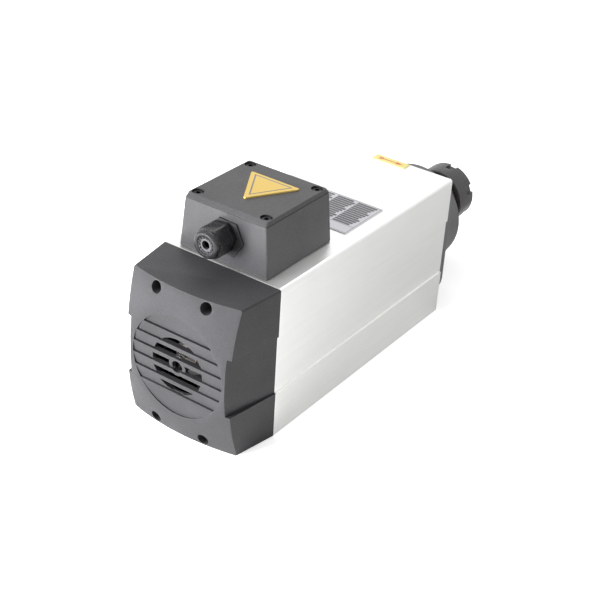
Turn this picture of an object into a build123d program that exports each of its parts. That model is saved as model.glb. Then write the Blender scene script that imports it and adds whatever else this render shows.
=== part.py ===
from build123d import *
import math
import os

# Air-cooled motor spindle, in millimetres.  The spindle axis is the Y axis, +Y points to the
# nose and +Z is up.  The origin is on the axis, in the mouth of the collet.

# ---- driving dimensions: lengths along the axis -------------------------------------------
nut_length = 22.5
neck_length = 32.5
boss_length = 30.5
plate_thickness = 10.0
housing_length = 228.5
cover_depth = 51.0
cap_thickness = 8.0
spigot_length = 14.0
stator_length = 90.0
stator_from_rear = 62.0
end_turn_length = 24.0

# ---- driving dimensions: housing and covers -----------------------------------------------
housing_width = 103.0
housing_height = 121.0
housing_edge_radius = 2.5
housing_base_radius = 0.8
band_height = 46.8
band_depth = 1.1
end_chamfer = 0.5
stator_radius = 45.0
duct_wall = 4.0
duct_inner_x = 27.5
duct_fillet = 2.0
duct_stator_extra = 1.5
plate_width = 97.2
plate_height = 109.0
plate_corner_radius = 21.0
boss_radius = 43.2
cap_radius = 42.3
cover_side_draft = 7.5
cover_top_draft = 2.3
cover_band_draft = 10.4
cover_dome_radius = 198.0
cover_wall = 3.0
cover_corner_radius = 1.6
cover_base_radius = 0.7
grille_ring_radius = 43.0
grille_radius = 39.5
grille_open_radius = 22.0
grille_sink = 4.6
slat_pitch = 9.6
slat_step = 1.4
slat_gap_share = 0.65
slat_offset = 1.7
slat_groove_width = 0.7
slat_groove_depth = 1.5
well_radius = 4.5
grille_hub_radius = 7.2
grille_hub_hole_radius = 4.5

# ---- driving dimensions: shaft, collet and nut --------------------------------------------
neck_radius = 20.5
nose_thread_radius = 20.0
nose_setback = 10.5
collet_length = 40.0
collet_radius = 16.5
collet_bore_radius = 6.0
collet_taper = 8.0
collet_face_radius = 13.8
collet_slits = 6
slit_width = 0.6
slit_angle = 3.75
nut_radius = 25.0
nut_notches = 6
notch_width = 7.0
notch_depth = 3.0
notch_length = 11.0
notch_angle = 7.5
flat_across = 36.0
flat_length = 13.0
rotor_seat_radius = 15.0
rotor_radius = 24.9
fan_seat_radius = 7.5
fan_radius = 37.0
fan_hub_radius = 13.0
fan_length = 19.0
fan_blades = 7
slinger_radius = 30.0
slinger_thickness = 5.6

# ---- driving dimensions: bearings (bore, outside and width of the standard sizes) -----------
front_bearing_bore = 35.0
front_bearing_outside = 62.0
front_bearing_width = 14.0
front_ball = 8.0
front_ball_count = 12
front_spacer = 6.0
rear_bearing_bore = 25.0
rear_bearing_outside = 47.0
rear_bearing_width = 12.0
rear_ball = 6.5
rear_ball_count = 10
rear_plate_thickness = 9.0
rear_bearing_inset = 3.0
wave_spring_height = 2.5
locknut_radius = 25.0
locknut_width = 9.0

# ---- driving dimensions: terminal box and cable gland ---------------------------------------
box_x = -1.5
box_from_rear = 41.15
box_base_width = 77.2
box_base_length = 75.7
box_top_width = 70.4
box_top_length = 73.6
box_corner_radius = 1.5
box_inner_radius = 2.0
box_height = 41.8
box_gasket = 0.8
box_wall = 3.0
lid_side_height = 3.0
lid_setback = 0.25
lid_side_slope = 0.7
lid_end_slope = 2.4
lid_edge_radius = 0.3
lid_gasket = 0.6
lid_gasket_width = 2.0
lid_screw_pitch = 58.7
lid_boss_depth = 4.0
lid_recess_depth = 5.0
lid_recess_radius = 4.4
lid_boss_wall = 0.5
fixing_pitch_x = 40.0
fixing_pitch_y = 44.0
lead_hole_radius = 8.0
lead_hole_from_rear = 28.0
gland_x = -1.0
gland_z = 82.2
gland_thread_radius = 7.9
gland_hex = 21.0
gland_hex_turn = 7.5
gland_hex_ease = 0.3
gland_flange_thickness = 4.4
gland_spout_radius = 8.6
gland_spout_length = 8.0
gland_tail_length = 8.0
gland_dome_radius = 10.4
gland_dome_length = 3.8
gland_hex_length = 11.5
gland_mouth_radius = 6.6
cable_hole_radius = 3.2
seal_recess = 1.2
sealing_plate_hex = 25.5
sealing_plate_turn = -2.5
sealing_plate_x = 2.4
sealing_plate_z = -1.0
sealing_plate_proud = 0.6
triangle_x = -0.5
triangle_from_box = 6.65
triangle_side = 43.0
triangle_corner_radius = 1.2
triangle_thickness = 1.0

# ---- driving dimensions: plates on the housing ---------------------------------------------
nameplate_width = 78.8
nameplate_length = 50.8
nameplate_from_rear = 94.2
nameplate_thickness = 0.6
label_width = 30.5
label_length = 9.6
label_x = -3.0
label_from_rear = 218.0
label_thickness = 0.4

# ---- fastener sizes: thread radius, head radius, head height --------------------------------
m3 = (1.5, 2.75, 2.0)
m4 = (2.0, 3.5, 4.0)
m5 = (2.5, 4.25, 5.0)
m6 = (3.0, 5.0, 6.0)
mount_hole_radius = 3.4
mount_hole_depth = 12.0
mount_pitch_x = 40.0
mount_pitch_y = 150.0

# ---- clearances ------------------------------------------------------------------------------
fit_gap = 0.03          # turned part that slides or runs in a bore
taper_gap = 0.05        # collet in its taper
seal_gap = 0.08         # gland seal in its nut
ball_gap = 0.05         # ball to raceway
pocket_gap = 0.15       # ball to cage
free_gap = 0.3          # rotating part past a fixed one
screw_gap = 0.25        # screw shank in a plain hole
thread_gap = 0.05       # screw thread in its tapped hole

# ---- stations along the axis -------------------------------------------------------------------
nut_front = 0.0
neck_front = nut_front - nut_length
boss_front = neck_front - neck_length
boss_body_front = boss_front - cap_thickness
plate_front = boss_front - boss_length
housing_front = plate_front - plate_thickness
housing_rear = housing_front - housing_length
cover_rear = housing_rear - cover_depth
half_width = housing_width / 2
half_height = housing_height / 2
cap_spigot = 2.0
bearing_front = boss_body_front - cap_spigot
bearing_rear = bearing_front - 2 * front_bearing_width - front_spacer
stator_rear = housing_rear + stator_from_rear
stator_front = stator_rear + stator_length
rear_bearing_back = housing_rear - rear_bearing_inset
rear_bearing_front = rear_bearing_back + rear_bearing_width
rear_plate_back = housing_rear - rear_plate_thickness
band_run = math.tan(math.radians(cover_band_draft))
cavity_inset_x = band_depth + cover_wall


# ---- making rules ------------------------------------------------------------------------------
def turned(*points):
    """Solid of revolution about the Y axis from (radius, y) points."""
    return revolve(make_face(Polyline(*points, close=True)), axis=Axis.Y)


def tube(y_back, y_front, outer, inner=0.0):
    return turned((inner, y_back), (outer, y_back), (outer, y_front), (inner, y_front))


def rod(x, z, y_back, y_front, radius):
    """Cylinder along Y, off the axis."""
    return Pos(x, 0, z) * tube(y_back, y_front, radius)


def prism(sketch, y_back, y_front):
    """Sketch drawn in X and Z, extruded along Y."""
    return extrude(Plane.XZ.offset(-y_back) * sketch, amount=-(y_front - y_back))


def upright(x, y, z_low, z_high, radius):
    """Cylinder along Z."""
    return Pos(x, y, z_low) * extrude(Circle(radius), amount=z_high - z_low)


def block(x, y, z):
    """Box between (low, high) pairs."""
    size = (x[1] - x[0], y[1] - y[0], z[1] - z[0])
    return Pos((x[0] + x[1]) / 2, (y[0] + y[1]) / 2, (z[0] + z[1]) / 2) * Box(*size)


def rounded(width, length, radius):
    return RectangleRounded(width, length, radius)


def two_radii(width, height, top_radius, base_radius):
    """Rectangle with one radius on its two upper corners and another on its two lower ones."""
    plain = Rectangle(width, height)
    eased = fillet(plain.vertices().group_by(Axis.Y)[-1], top_radius)
    return fillet(eased.vertices().group_by(Axis.Y)[0], base_radius)


def corners(dx, dz):
    return [(sx * dx, sz * dz) for sx in (-1, 1) for sz in (-1, 1)]


def around(count, radius, start=0.0):
    """Points (x, z) on a circle about the Y axis, the first one start degrees from +Z."""
    angles = [math.radians(start + 360 * i / count) for i in range(count)]
    return [(radius * math.sin(a), radius * math.cos(a)) for a in angles]


def joined(pieces):
    """One solid from overlapping pieces."""
    first, *rest = pieces
    return first.fuse(*rest) if rest else first


def socket_screw(size, length):
    """Cap screw on the Z axis: head above z = 0, thread below it."""
    thread, head, height = size
    body = upright(0, 0, 0, height, head) + upright(0, 0, -length, 0, thread)
    body = chamfer(body.edges().group_by(Axis.Z)[-1], height * 0.08)
    socket = Pos(0, 0, height * 0.45) * extrude(RegularPolygon(thread * 0.95, 6), amount=height)
    return body - socket


def screw_to_front(size, length, x, y, z):
    """Cap screw with its seat at y, its thread pointing to the rear."""
    return Pos(x, y, z) * Rot(-90, 0, 0) * socket_screw(size, length)


def screw_to_rear(size, length, x, y, z):
    """Cap screw with its seat at y, its thread pointing to the nose."""
    return Pos(x, y, z) * Rot(90, 0, 0) * socket_screw(size, length)


def save(name, *solids):
    export_step(solids[0] if len(solids) == 1 else Compound(children=list(solids)), f"parts/{name}.step")


os.makedirs("parts", exist_ok=True)

# ---- motor housing: aluminium extrusion with four air ducts ---------------------------------
cover_screw_x, cover_screw_z = 21.5, 53.5
front_screw_x, front_screw_z = 21.5, 47.5
rear_screw_x, rear_screw_z = 9.0, 50.8
cover_thread_depth = 12.0
front_thread_depth = 16.0
rear_thread_depth = 14.0
box_y = housing_rear + box_from_rear
top = half_height

section = two_radii(housing_width, housing_height, housing_edge_radius, housing_base_radius)
for side in (-1, 1):
    section -= Pos(side * half_width, 0) * Rectangle(2 * band_depth, band_height)
housing = prism(section, housing_rear, housing_front)
end_edges = housing.edges().group_by(Axis.Y)
housing = chamfer(end_edges[0] + end_edges[-1], end_chamfer)
housing -= tube(housing_rear - 1, housing_front + 1, stator_radius)

duct_outer_x = half_width - duct_wall
duct_outer_z = half_height - duct_wall
duct_foot_z = duct_wall / 2
duct = Pos((duct_inner_x + duct_outer_x) / 2, (duct_foot_z + duct_outer_z) / 2) * Rectangle(
    duct_outer_x - duct_inner_x, duct_outer_z - duct_foot_z)
duct -= Circle(stator_radius + duct_wall + duct_stator_extra)
duct = offset(offset(duct, -duct_fillet), duct_fillet)
for side_x, side_z in corners(1, 1):
    turned_duct = duct if side_x > 0 else mirror(duct, Plane.YZ)
    turned_duct = turned_duct if side_z > 0 else mirror(turned_duct, Plane.XZ)
    housing -= prism(turned_duct, housing_rear - 1, housing_front + 1)

for x, z in corners(cover_screw_x, cover_screw_z):
    housing -= rod(x, z, housing_rear - 1, housing_rear + cover_thread_depth, m5[0] + thread_gap)
for x, z in corners(rear_screw_x, rear_screw_z):
    housing -= rod(x, z, housing_rear - 1, housing_rear + rear_thread_depth, m5[0] + thread_gap)
for x, z in corners(front_screw_x, front_screw_z):
    housing -= rod(x, z, housing_front - front_thread_depth, housing_front + 1, m6[0] + thread_gap)
mount_y = (housing_front + housing_rear) / 2
mount_hole_top = -half_height + mount_hole_depth
for x, dy in corners(mount_pitch_x / 2, mount_pitch_y / 2):
    housing -= upright(x, mount_y + dy, -half_height - 1, mount_hole_top, mount_hole_radius)

fixing_points = [(box_x + dx, box_y + dy) for dx, dy in corners(fixing_pitch_x / 2, fixing_pitch_y / 2)]
fixing_depth = 8.0
for x, y in fixing_points:
    housing -= upright(x, y, top - fixing_depth, top + 1, m4[0] + thread_gap)
earth_x, earth_y = box_x - 22.0, box_y - 9.0
housing -= upright(earth_x, earth_y, top - fixing_depth, top + 1, m5[0] + thread_gap)
lead_y = housing_rear + lead_hole_from_rear
housing -= upright(box_x, lead_y, 0, top + 1, lead_hole_radius)
save("motor_housing", housing)

# ---- stator: slotted lamination stack and its winding ------------------------------------------
slot_count = 24
slot_width = 3.6
slot_inner = 27.6
slot_outer = 40.0
slot_mouth = 1.5
air_gap = 0.4
stator_bore = rotor_radius + air_gap
slot_angles = [360 * i / slot_count for i in range(slot_count)]
laminations = Circle(stator_radius) - Circle(stator_bore)
slots = Sketch() + [
    Rot(0, 0, a) * Pos((slot_inner + slot_outer) / 2, 0) * Rectangle(slot_outer - slot_inner, slot_width)
    for a in slot_angles]
mouths = Sketch() + [
    Rot(0, 0, a) * Pos((stator_bore + slot_inner) / 2, 0) * Rectangle(
        slot_inner - stator_bore + 1, slot_mouth)
    for a in slot_angles]
save("stator_core", prism(laminations - slots - mouths, stator_rear, stator_front))

insulation = 0.2
bars = Sketch() + [
    Rot(0, 0, a) * Pos((slot_inner + slot_outer) / 2, 0) * Rectangle(
        slot_outer - slot_inner - 2 * insulation, slot_width - 2 * insulation)
    for a in slot_angles]
end_turn_inner = slot_inner + 0.6
end_turn_outer = slot_outer + 1.5
end_turn_bevel = 3.0
end_turns = []
for y, way in ((stator_front + insulation, 1), (stator_rear - insulation, -1)):
    tip = y + way * end_turn_length
    end_turns.append(turned(
        (end_turn_inner, y), (end_turn_outer, y), (end_turn_outer, tip - way * end_turn_bevel),
        (end_turn_outer - end_turn_bevel, tip), (end_turn_inner, tip)))
winding = prism(bars, stator_rear - insulation - 1, stator_front + insulation + 1)
winding = winding.fuse(*end_turns)
save("stator_winding", winding)

# ---- front end plate: flange, nose boss and spigot in one casting ------------------------------
front_bore = front_bearing_outside / 2
bearing_shoulder = front_bore - 3.5
plate = prism(rounded(plate_width, plate_height, plate_corner_radius), housing_front, plate_front)
plate = chamfer(plate.edges().group_by(Axis.Y)[-1], 1.0)
plate += tube(plate_front - 1, boss_body_front, boss_radius)
plate += tube(housing_front - spigot_length, housing_front + 1, stator_radius - fit_gap)
plate -= tube(bearing_rear, boss_body_front + 1, front_bore)
plate -= tube(housing_front - spigot_length - 1, bearing_rear + 1, bearing_shoulder)
front_screw_seat = plate_front - m6[2] - 0.5
for x, z in corners(front_screw_x, front_screw_z):
    plate -= rod(x, z, housing_front - 1, plate_front + 1, m6[0] + screw_gap)
    plate -= rod(x, z, front_screw_seat, plate_front + 1, m6[1] + screw_gap)
cap_screw_ring = (cap_radius + front_bore) / 2
cap_screws = around(6, cap_screw_ring, 30)
cap_screw_length = 14.0
cap_seat = boss_front - m5[2] - 0.5
for x, z in cap_screws:
    plate -= rod(x, z, cap_seat - cap_screw_length - 1, boss_body_front + 1, m5[0] + thread_gap)
save("front_end_plate", plate)
front_screw_length = front_screw_seat - housing_front + front_thread_depth - 2
save("front_plate_screws", *[
    screw_to_front(m6, front_screw_length, x, front_screw_seat, z)
    for x, z in corners(front_screw_x, front_screw_z)])

# ---- front bearing cap with its labyrinth groove, and the slinger that turns in it -------------
lip_inner, lip_outer, lip_length = 24.0, 26.0, 2.2
cap = tube(boss_body_front, boss_front, cap_radius, neck_radius + free_gap)
cap = chamfer(cap.edges().filter_by(GeomType.CIRCLE).group_by(Axis.Y)[-1].sort_by(SortBy.RADIUS)[-1], 1.0)
cap += tube(bearing_front, boss_body_front + 1, front_bore - fit_gap, front_bore - 3)
cap -= tube(boss_front - lip_length - free_gap, boss_front + 1, lip_outer + free_gap, lip_inner - free_gap)
for x, z in cap_screws:
    cap -= rod(x, z, cap_seat, boss_front + 1, m5[1] + screw_gap)
    cap -= rod(x, z, boss_body_front - 1, cap_seat + 1, m5[0] + screw_gap)
save("front_bearing_cap", cap)
save("front_cap_screws", *[screw_to_front(m5, cap_screw_length, x, cap_seat, z) for x, z in cap_screws])

slinger_back = boss_front + free_gap
slinger_front = slinger_back + slinger_thickness
slinger = tube(slinger_back, slinger_front, slinger_radius, neck_radius)
slinger = chamfer(slinger.edges().group_by(Axis.Y)[-1].sort_by(SortBy.RADIUS)[-1], 1.2)
slinger += tube(slinger_back - lip_length, slinger_back + 1, lip_outer, lip_inner)
grub_radius = 1.5
grub_y = (slinger_back + slinger_front) / 2
for turn in (0, 180):
    slinger -= Rot(0, turn, 0) * upright(0, grub_y, neck_radius, slinger_radius + 1, grub_radius + thread_gap)
save("slinger_ring", slinger)
save("slinger_grub_screws", *[
    Rot(0, turn, 0) * upright(0, grub_y, neck_radius, slinger_radius - 1, grub_radius) for turn in (0, 180)])

# ---- shaft: nose taper, bearing seats, rotor seat and fan seat ---------------------------------
nose_front = nut_front - nose_setback
front_seat = front_bearing_bore / 2
rear_seat = rear_bearing_bore / 2
locknut_rear = bearing_rear - locknut_width
rear_journal_back = rear_plate_back - 3.0
fan_front = rear_journal_back
fan_back = fan_front - fan_length
circlip_width = 1.0
shaft_rear = fan_back - circlip_width - 2.5
taper_run = math.tan(math.radians(collet_taper))
groove_back = nut_front - 9.0
taper_start_radius = collet_radius - 0.5
collet_rear = nut_front - collet_length
collet_rear_radius = taper_start_radius - (groove_back - collet_rear) * taper_run


def taper_radius(y):
    """Radius of the collet's long cone at y."""
    return taper_start_radius - (groove_back - y) * taper_run


taper_floor = collet_rear - 2.0
drawbar_hole_radius = collet_bore_radius + 1.0
drill_rear = taper_floor - 30.0
shaft = turned(
    (0, shaft_rear), (fan_seat_radius - 0.5, shaft_rear), (fan_seat_radius, shaft_rear + 0.5),
    (fan_seat_radius, rear_journal_back), (rear_seat, rear_journal_back), (rear_seat, rear_bearing_front),
    (rotor_seat_radius, rear_bearing_front), (rotor_seat_radius, locknut_rear - 2),
    (front_seat - 0.1, locknut_rear - 2), (front_seat - 0.1, bearing_rear), (front_seat, bearing_rear),
    (front_seat, bearing_front), (neck_radius, bearing_front), (neck_radius, neck_front - 1),
    (nose_thread_radius - 1, neck_front - 1), (nose_thread_radius - 1, neck_front + 1.5),
    (nose_thread_radius, neck_front + 1.5), (nose_thread_radius, nose_front - 1),
    (nose_thread_radius - 1, nose_front), (0, nose_front))
shaft -= turned(
    (0, nose_front + 1), (taper_radius(nose_front + 1) + taper_gap, nose_front + 1),
    (taper_radius(taper_floor) + taper_gap, taper_floor), (drawbar_hole_radius, taper_floor),
    (drawbar_hole_radius, drill_rear), (0, drill_rear))
flat_back = slinger_front + 1.5
for side in (-1, 1):
    flat = block((flat_across / 2, neck_radius + 1), (flat_back, flat_back + flat_length),
                 (-neck_radius - 1, neck_radius + 1))
    shaft -= flat if side > 0 else mirror(flat, Plane.YZ)
clip_groove_depth = 0.8
clip_groove_radius = fan_seat_radius - clip_groove_depth
shaft -= tube(fan_back - circlip_width - 0.1, fan_back, fan_seat_radius + 1, clip_groove_radius)
save("spindle_shaft", shaft)

# ---- collet: slit spring collet, with the groove that the nut's ring pulls on -------------------
cone_back = nut_front - 5.6
land_back = nut_front - 6.8
groove_radius = taper_start_radius - 1.2
collet = turned(
    (collet_bore_radius, nut_front), (collet_face_radius, nut_front), (collet_radius, cone_back),
    (collet_radius, land_back), (groove_radius, land_back - 0.3), (groove_radius, groove_back + 0.2),
    (taper_start_radius, groove_back), (collet_rear_radius, collet_rear), (collet_bore_radius, collet_rear))
slit_web = 6.0
for i in range(collet_slits):
    front_slit = block((-slit_width / 2, slit_width / 2), (collet_rear + slit_web, nut_front + 1),
                       (collet_bore_radius / 2, collet_radius + 1))
    rear_slit = block((-slit_width / 2, slit_width / 2), (collet_rear - 1, nut_front - slit_web),
                      (collet_bore_radius / 2, collet_radius + 1))
    step = 360 / collet_slits
    collet -= Rot(0, slit_angle + step * i, 0) * front_slit
    collet -= Rot(0, slit_angle + step * (i + 0.5), 0) * rear_slit
save("spring_collet", collet)

# ---- collet nut, and the ring inside it that snaps into the collet's groove --------------------
ring_front = nut_front - 2.2
ring_back = groove_back + 0.4
ring_seat_radius = nut_radius - 5.5


def cone_radius(y):
    """Radius of the collet's short front cone at y."""
    rise = (collet_radius - collet_face_radius) / (nut_front - cone_back)
    return collet_face_radius + (nut_front - y) * rise


nut = turned(
    (cone_radius(nut_front) + 1.2, nut_front), (nut_radius - 1.5, nut_front), (nut_radius, nut_front - 1.5),
    (nut_radius, neck_front + 0.8), (nut_radius - 0.8, neck_front + fit_gap),
    (nose_thread_radius + fit_gap, neck_front + fit_gap), (nose_thread_radius + fit_gap, nose_front + 0.5),
    (ring_seat_radius, nose_front + 0.5), (ring_seat_radius, ring_front),
    (cone_radius(ring_front) + 1.2, ring_front))
for i in range(nut_notches):
    notch = block((-notch_width / 2, notch_width / 2), (nut_front - notch_length, nut_front + 1),
                  (nut_radius - notch_depth, nut_radius + 1))
    nut -= Rot(0, notch_angle + 360 / nut_notches * i, 0) * notch
save("collet_nut", nut)
ring = turned(
    (cone_radius(ring_front) + taper_gap, ring_front), (ring_seat_radius - fit_gap, ring_front),
    (ring_seat_radius - fit_gap, ring_back), (groove_radius + taper_gap, ring_back),
    (groove_radius + taper_gap, land_back - 0.4), (collet_radius + taper_gap, land_back),
    (collet_radius + taper_gap, cone_back))
save("nut_pull_ring", ring)

# ---- bearings ------------------------------------------------------------------------------------
def bearing(bore, outside, width, ball, count, y_back):
    """Angular-contact ball bearing: inner ring, outer ring, cage and balls."""
    inner_r, outer_r = bore / 2, outside / 2
    pitch_r = (inner_r + outer_r) / 2
    race = ball / 2 + ball_gap
    land = ball * 0.34
    centre = y_back + width / 2
    groove = Pos(0, centre, 0) * Rot(90, 0, 0) * Torus(pitch_r, race)
    inner = tube(y_back, y_back + width, pitch_r - land, inner_r) - groove
    outer = tube(y_back, y_back + width, outer_r, pitch_r + land) - groove
    balls = [Pos(x, centre, z) * Sphere(ball / 2) for x, z in around(count, pitch_r)]
    cage_half = width * 0.42
    cage = tube(centre - cage_half, centre + cage_half, pitch_r + ball * 0.17, pitch_r - ball * 0.17)
    for i in range(count):
        pocket = upright(0, centre, pitch_r - ball, pitch_r + ball, ball / 2 + pocket_gap)
        cage -= Rot(0, 360 / count * i, 0) * pocket
    return inner, outer, cage, balls


front_sizes = (front_bearing_bore, front_bearing_outside, front_bearing_width, front_ball, front_ball_count)
second_back = bearing_rear
first_back = bearing_front - front_bearing_width
inner_a, outer_a, cage_a, balls_a = bearing(*front_sizes, first_back)
inner_b, outer_b, cage_b, balls_b = bearing(*front_sizes, second_back)
save("front_bearing_inner_rings", inner_a, inner_b)
save("front_bearing_outer_rings", outer_a, outer_b)
save("front_bearing_cages", cage_a, cage_b)
save("front_bearing_balls", *balls_a, *balls_b)
spacer_back = bearing_rear + front_bearing_width
spacer_wall = 3.5
save("inner_bearing_spacer", tube(spacer_back, first_back, front_seat + spacer_wall, front_seat))
save("outer_bearing_spacer", tube(spacer_back, first_back, front_bore, front_bore - spacer_wall))

locknut = tube(locknut_rear, bearing_rear, locknut_radius, front_seat - 0.1)
locknut_slot = 5.0
for i in range(4):
    slot = block((-locknut_slot / 2, locknut_slot / 2), (locknut_rear - 1, bearing_rear + 1),
                 (locknut_radius - 2, locknut_radius + 1))
    locknut -= Rot(0, 90 * i, 0) * slot
save("bearing_locknut", locknut)

rear_sizes = (rear_bearing_bore, rear_bearing_outside, rear_bearing_width, rear_ball, rear_ball_count)
inner_c, outer_c, cage_c, balls_c = bearing(*rear_sizes, rear_bearing_back)
save("rear_bearing_inner_ring", inner_c)
save("rear_bearing_outer_ring", outer_c)
save("rear_bearing_cage", cage_c)
save("rear_bearing_balls", *balls_c)

# ---- rotor: lamination stack and its cast cage ---------------------------------------------------
bar_count = 18
bar_radius = 1.8
bar_ring = rotor_radius - 3.2
end_ring_length = 8.0
bar_points = around(bar_count, bar_ring)
rotor_face = Circle(rotor_radius) - Circle(rotor_seat_radius)
rotor_face -= Sketch() + [Pos(x, z) * Circle(bar_radius) for x, z in bar_points]
save("rotor_core", prism(rotor_face, stator_rear, stator_front))
rotor_bars = Sketch() + [Pos(x, z) * Circle(bar_radius) for x, z in bar_points]
cage_bars = prism(rotor_bars, stator_rear - 1, stator_front + 1)
end_rings = [
    tube(stator_front, stator_front + end_ring_length, rotor_radius - 0.8, rotor_seat_radius + 3),
    tube(stator_rear - end_ring_length, stator_rear, rotor_radius - 0.8, rotor_seat_radius + 3)]
save("rotor_cage", cage_bars.fuse(*end_rings))

# ---- rear bearing plate, with the hub that carries the rear bearing ------------------------------
rear_bore = rear_bearing_outside / 2
hub_radius = rear_bore + 6.5
plate_disc_radius = stator_radius + 4.0
rear_plate = tube(rear_plate_back, housing_rear, plate_disc_radius)
plate_half_width = half_width - cavity_inset_x - rear_plate_thickness * band_run - free_gap
rear_plate &= block((-plate_half_width, plate_half_width), (rear_plate_back, housing_rear),
                    (-half_height, half_height))
lug = Rectangle(2 * (cover_screw_x + 5), 2 * (half_height - 4)) - Rectangle(200, 60)
rear_plate += prism(lug, rear_plate_back, housing_rear)
rear_plate += tube(housing_rear - 1, housing_rear + 5, stator_radius - fit_gap, stator_radius - 4)
rear_plate += tube(housing_rear - 1, rear_bearing_front, hub_radius)
spring_back = rear_bearing_back - wave_spring_height
rear_plate -= tube(spring_back, rear_bearing_front + 1, rear_bore)
rear_plate -= tube(rear_plate_back - 1, spring_back + 1, rear_seat + 1.5)
vent_inner, vent_outer = hub_radius + 1.5, stator_radius - 5.5
vent = Circle(vent_outer) - Circle(vent_inner)
for i in range(6):
    vent -= Rot(0, 0, 60 * i + 30) * Pos(vent_outer, 0) * Rectangle(2 * vent_outer, 9)
rear_plate -= prism(vent, rear_plate_back - 1, housing_rear + 1)
for x, z in corners(rear_screw_x, rear_screw_z):
    rear_plate -= rod(x, z, rear_plate_back - 1, housing_rear + 1, m5[0] + screw_gap)
for x, z in corners(cover_screw_x, cover_screw_z):
    rear_plate -= rod(x, z, rear_plate_back - 1, housing_rear + 1, m5[0] + screw_gap)
save("rear_bearing_plate", rear_plate)
save("rear_plate_screws", *[
    screw_to_rear(m5, rear_plate_thickness + rear_thread_depth - 2, x, rear_plate_back, z)
    for x, z in corners(rear_screw_x, rear_screw_z)])

spring_waves = 4
spring_strip = 0.6
spring_outer = rear_bore - 0.5
spring_inner = rear_bore - 3.5
spring = tube(spring_back, rear_bearing_back, spring_outer, spring_inner)
amplitude = (wave_spring_height - spring_strip) / 2
spring_steps = 48
spring_middle = (spring_back + rear_bearing_back) / 2
step = 360 / spring_steps
segments = []
for i in range(spring_steps):
    wave = spring_middle + amplitude * math.cos(math.radians(spring_waves * step * (i + 0.5)))
    strip = Pos((spring_inner + spring_outer) / 2, wave) * Rectangle(
        spring_outer - spring_inner, spring_strip)
    segments.append(Rot(0, step * i, 0) * revolve(strip, axis=Axis.Y, revolution_arc=step))
save("rear_wave_spring", joined(segments))

# ---- cooling fan and its circlip -----------------------------------------------------------------
blade_thickness = 2.2
blade_twist = 35.0
blade_front = fan_front - 1.5
blade_back = fan_back + 1.5
fan = tube(fan_back, fan_front, fan_hub_radius, fan_seat_radius)
blades = []
for i in range(fan_blades):
    blade = Pos(0, (blade_front + blade_back) / 2, 0) * Rot(0, 0, blade_twist) * Box(
        blade_thickness, (blade_front - blade_back) / math.cos(math.radians(blade_twist)) * 0.9,
        fan_radius - fan_hub_radius + 2, align=(Align.CENTER, Align.CENTER, Align.MIN))
    blades.append(Rot(0, 360 / fan_blades * i, 0) * Pos(0, 0, fan_hub_radius - 1.5) * blade)
fan = fan.fuse(*blades) & tube(fan_back, fan_front, fan_radius, fan_seat_radius)
save("cooling_fan", fan)
circlip = tube(fan_back - circlip_width, fan_back, fan_seat_radius + 2.5, clip_groove_radius)
circlip -= Pos(0, fan_back, fan_seat_radius + 2) * Box(5, 4, 6)
save("fan_circlip", circlip)

# ---- rear cover: tapered domed shell with screw wells and a slatted grille --------------------------
side_run = math.tan(math.radians(cover_side_draft))
top_run = math.tan(math.radians(cover_top_draft))
loft_depth = cover_depth + 2


def cover_form(inset_x, inset_z, run_x):
    """Tapered block behind the housing, inset from its outline."""
    near = two_radii(housing_width - 2 * inset_x, housing_height - 2 * inset_z,
                     cover_corner_radius, cover_base_radius)
    far = two_radii(housing_width - 2 * (inset_x + loft_depth * run_x),
                    housing_height - 2 * (inset_z + loft_depth * top_run),
                    cover_corner_radius, cover_base_radius)
    return loft([Plane.XZ.offset(-housing_rear) * near, Plane.XZ.offset(-housing_rear + loft_depth) * far])


dome_centre = cover_rear + cover_dome_radius
dome = Pos(0, dome_centre, 0) * Sphere(cover_dome_radius)
cover = cover_form(0, 0, side_run) & dome
for side in (-1, 1):
    near_x = half_width - band_depth
    far_x = near_x - loft_depth * band_run
    wedge = make_face(Polyline(
        (side * near_x, housing_rear), (side * (half_width + 5), housing_rear),
        (side * (half_width + 5), housing_rear - loft_depth), (side * far_x, housing_rear - loft_depth),
        close=True))
    cover -= Pos(0, 0, -band_height / 2) * extrude(wedge, amount=band_height)

grille_floor = cover_rear + grille_sink
slat_floor = grille_floor + slat_step
cover -= tube(cover_rear - 5, grille_floor, grille_ring_radius)
cover -= tube(cover_rear - 5, slat_floor, grille_radius)
slat_edges = [(row - 0.5) * slat_pitch + slat_offset for row in range(-2, 4)]
slat_ends = [-grille_radius, *slat_edges, grille_radius]
teeth = [(slat_floor + 1, slat_ends[0])]
for low, high in zip(slat_ends, slat_ends[1:]):
    teeth += [(slat_floor, low), (grille_floor, high)]
teeth.append((slat_floor + 1, slat_ends[-1]))
saw_face = make_face(Polyline(*[(0, y, z) for y, z in teeth], close=True))
saw = extrude(saw_face, amount=grille_radius, both=True)
cover += saw & tube(grille_floor - 1, slat_floor + 1, grille_radius)
groove_floor = slat_floor + slat_groove_depth
for low in slat_edges:
    groove = block((-grille_radius, grille_radius), (grille_floor - 1, groove_floor),
                   (low, low + slat_groove_width))
    cover -= groove & tube(grille_floor - 1, groove_floor, grille_radius)

cavity = cover_form(cavity_inset_x, cover_wall, band_run)
cavity &= Pos(0, dome_centre, 0) * Sphere(cover_dome_radius - cover_wall - 0.5)
cavity -= tube(cover_rear - 1, slat_floor + cover_wall, grille_ring_radius + cover_wall)
well_wall = 1.8
well_floor = 4.0
well_seat = rear_plate_back - well_floor
for x, z in corners(cover_screw_x, cover_screw_z):
    cavity -= rod(x, z, cover_rear, rear_plate_back, well_radius + well_wall)
cover -= cavity
for x, z in corners(cover_screw_x, cover_screw_z):
    cover -= rod(x, z, cover_rear - 1, well_seat, well_radius)
    cover -= rod(x, z, well_seat - 1, rear_plate_back + 1, m5[0] + screw_gap)

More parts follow.
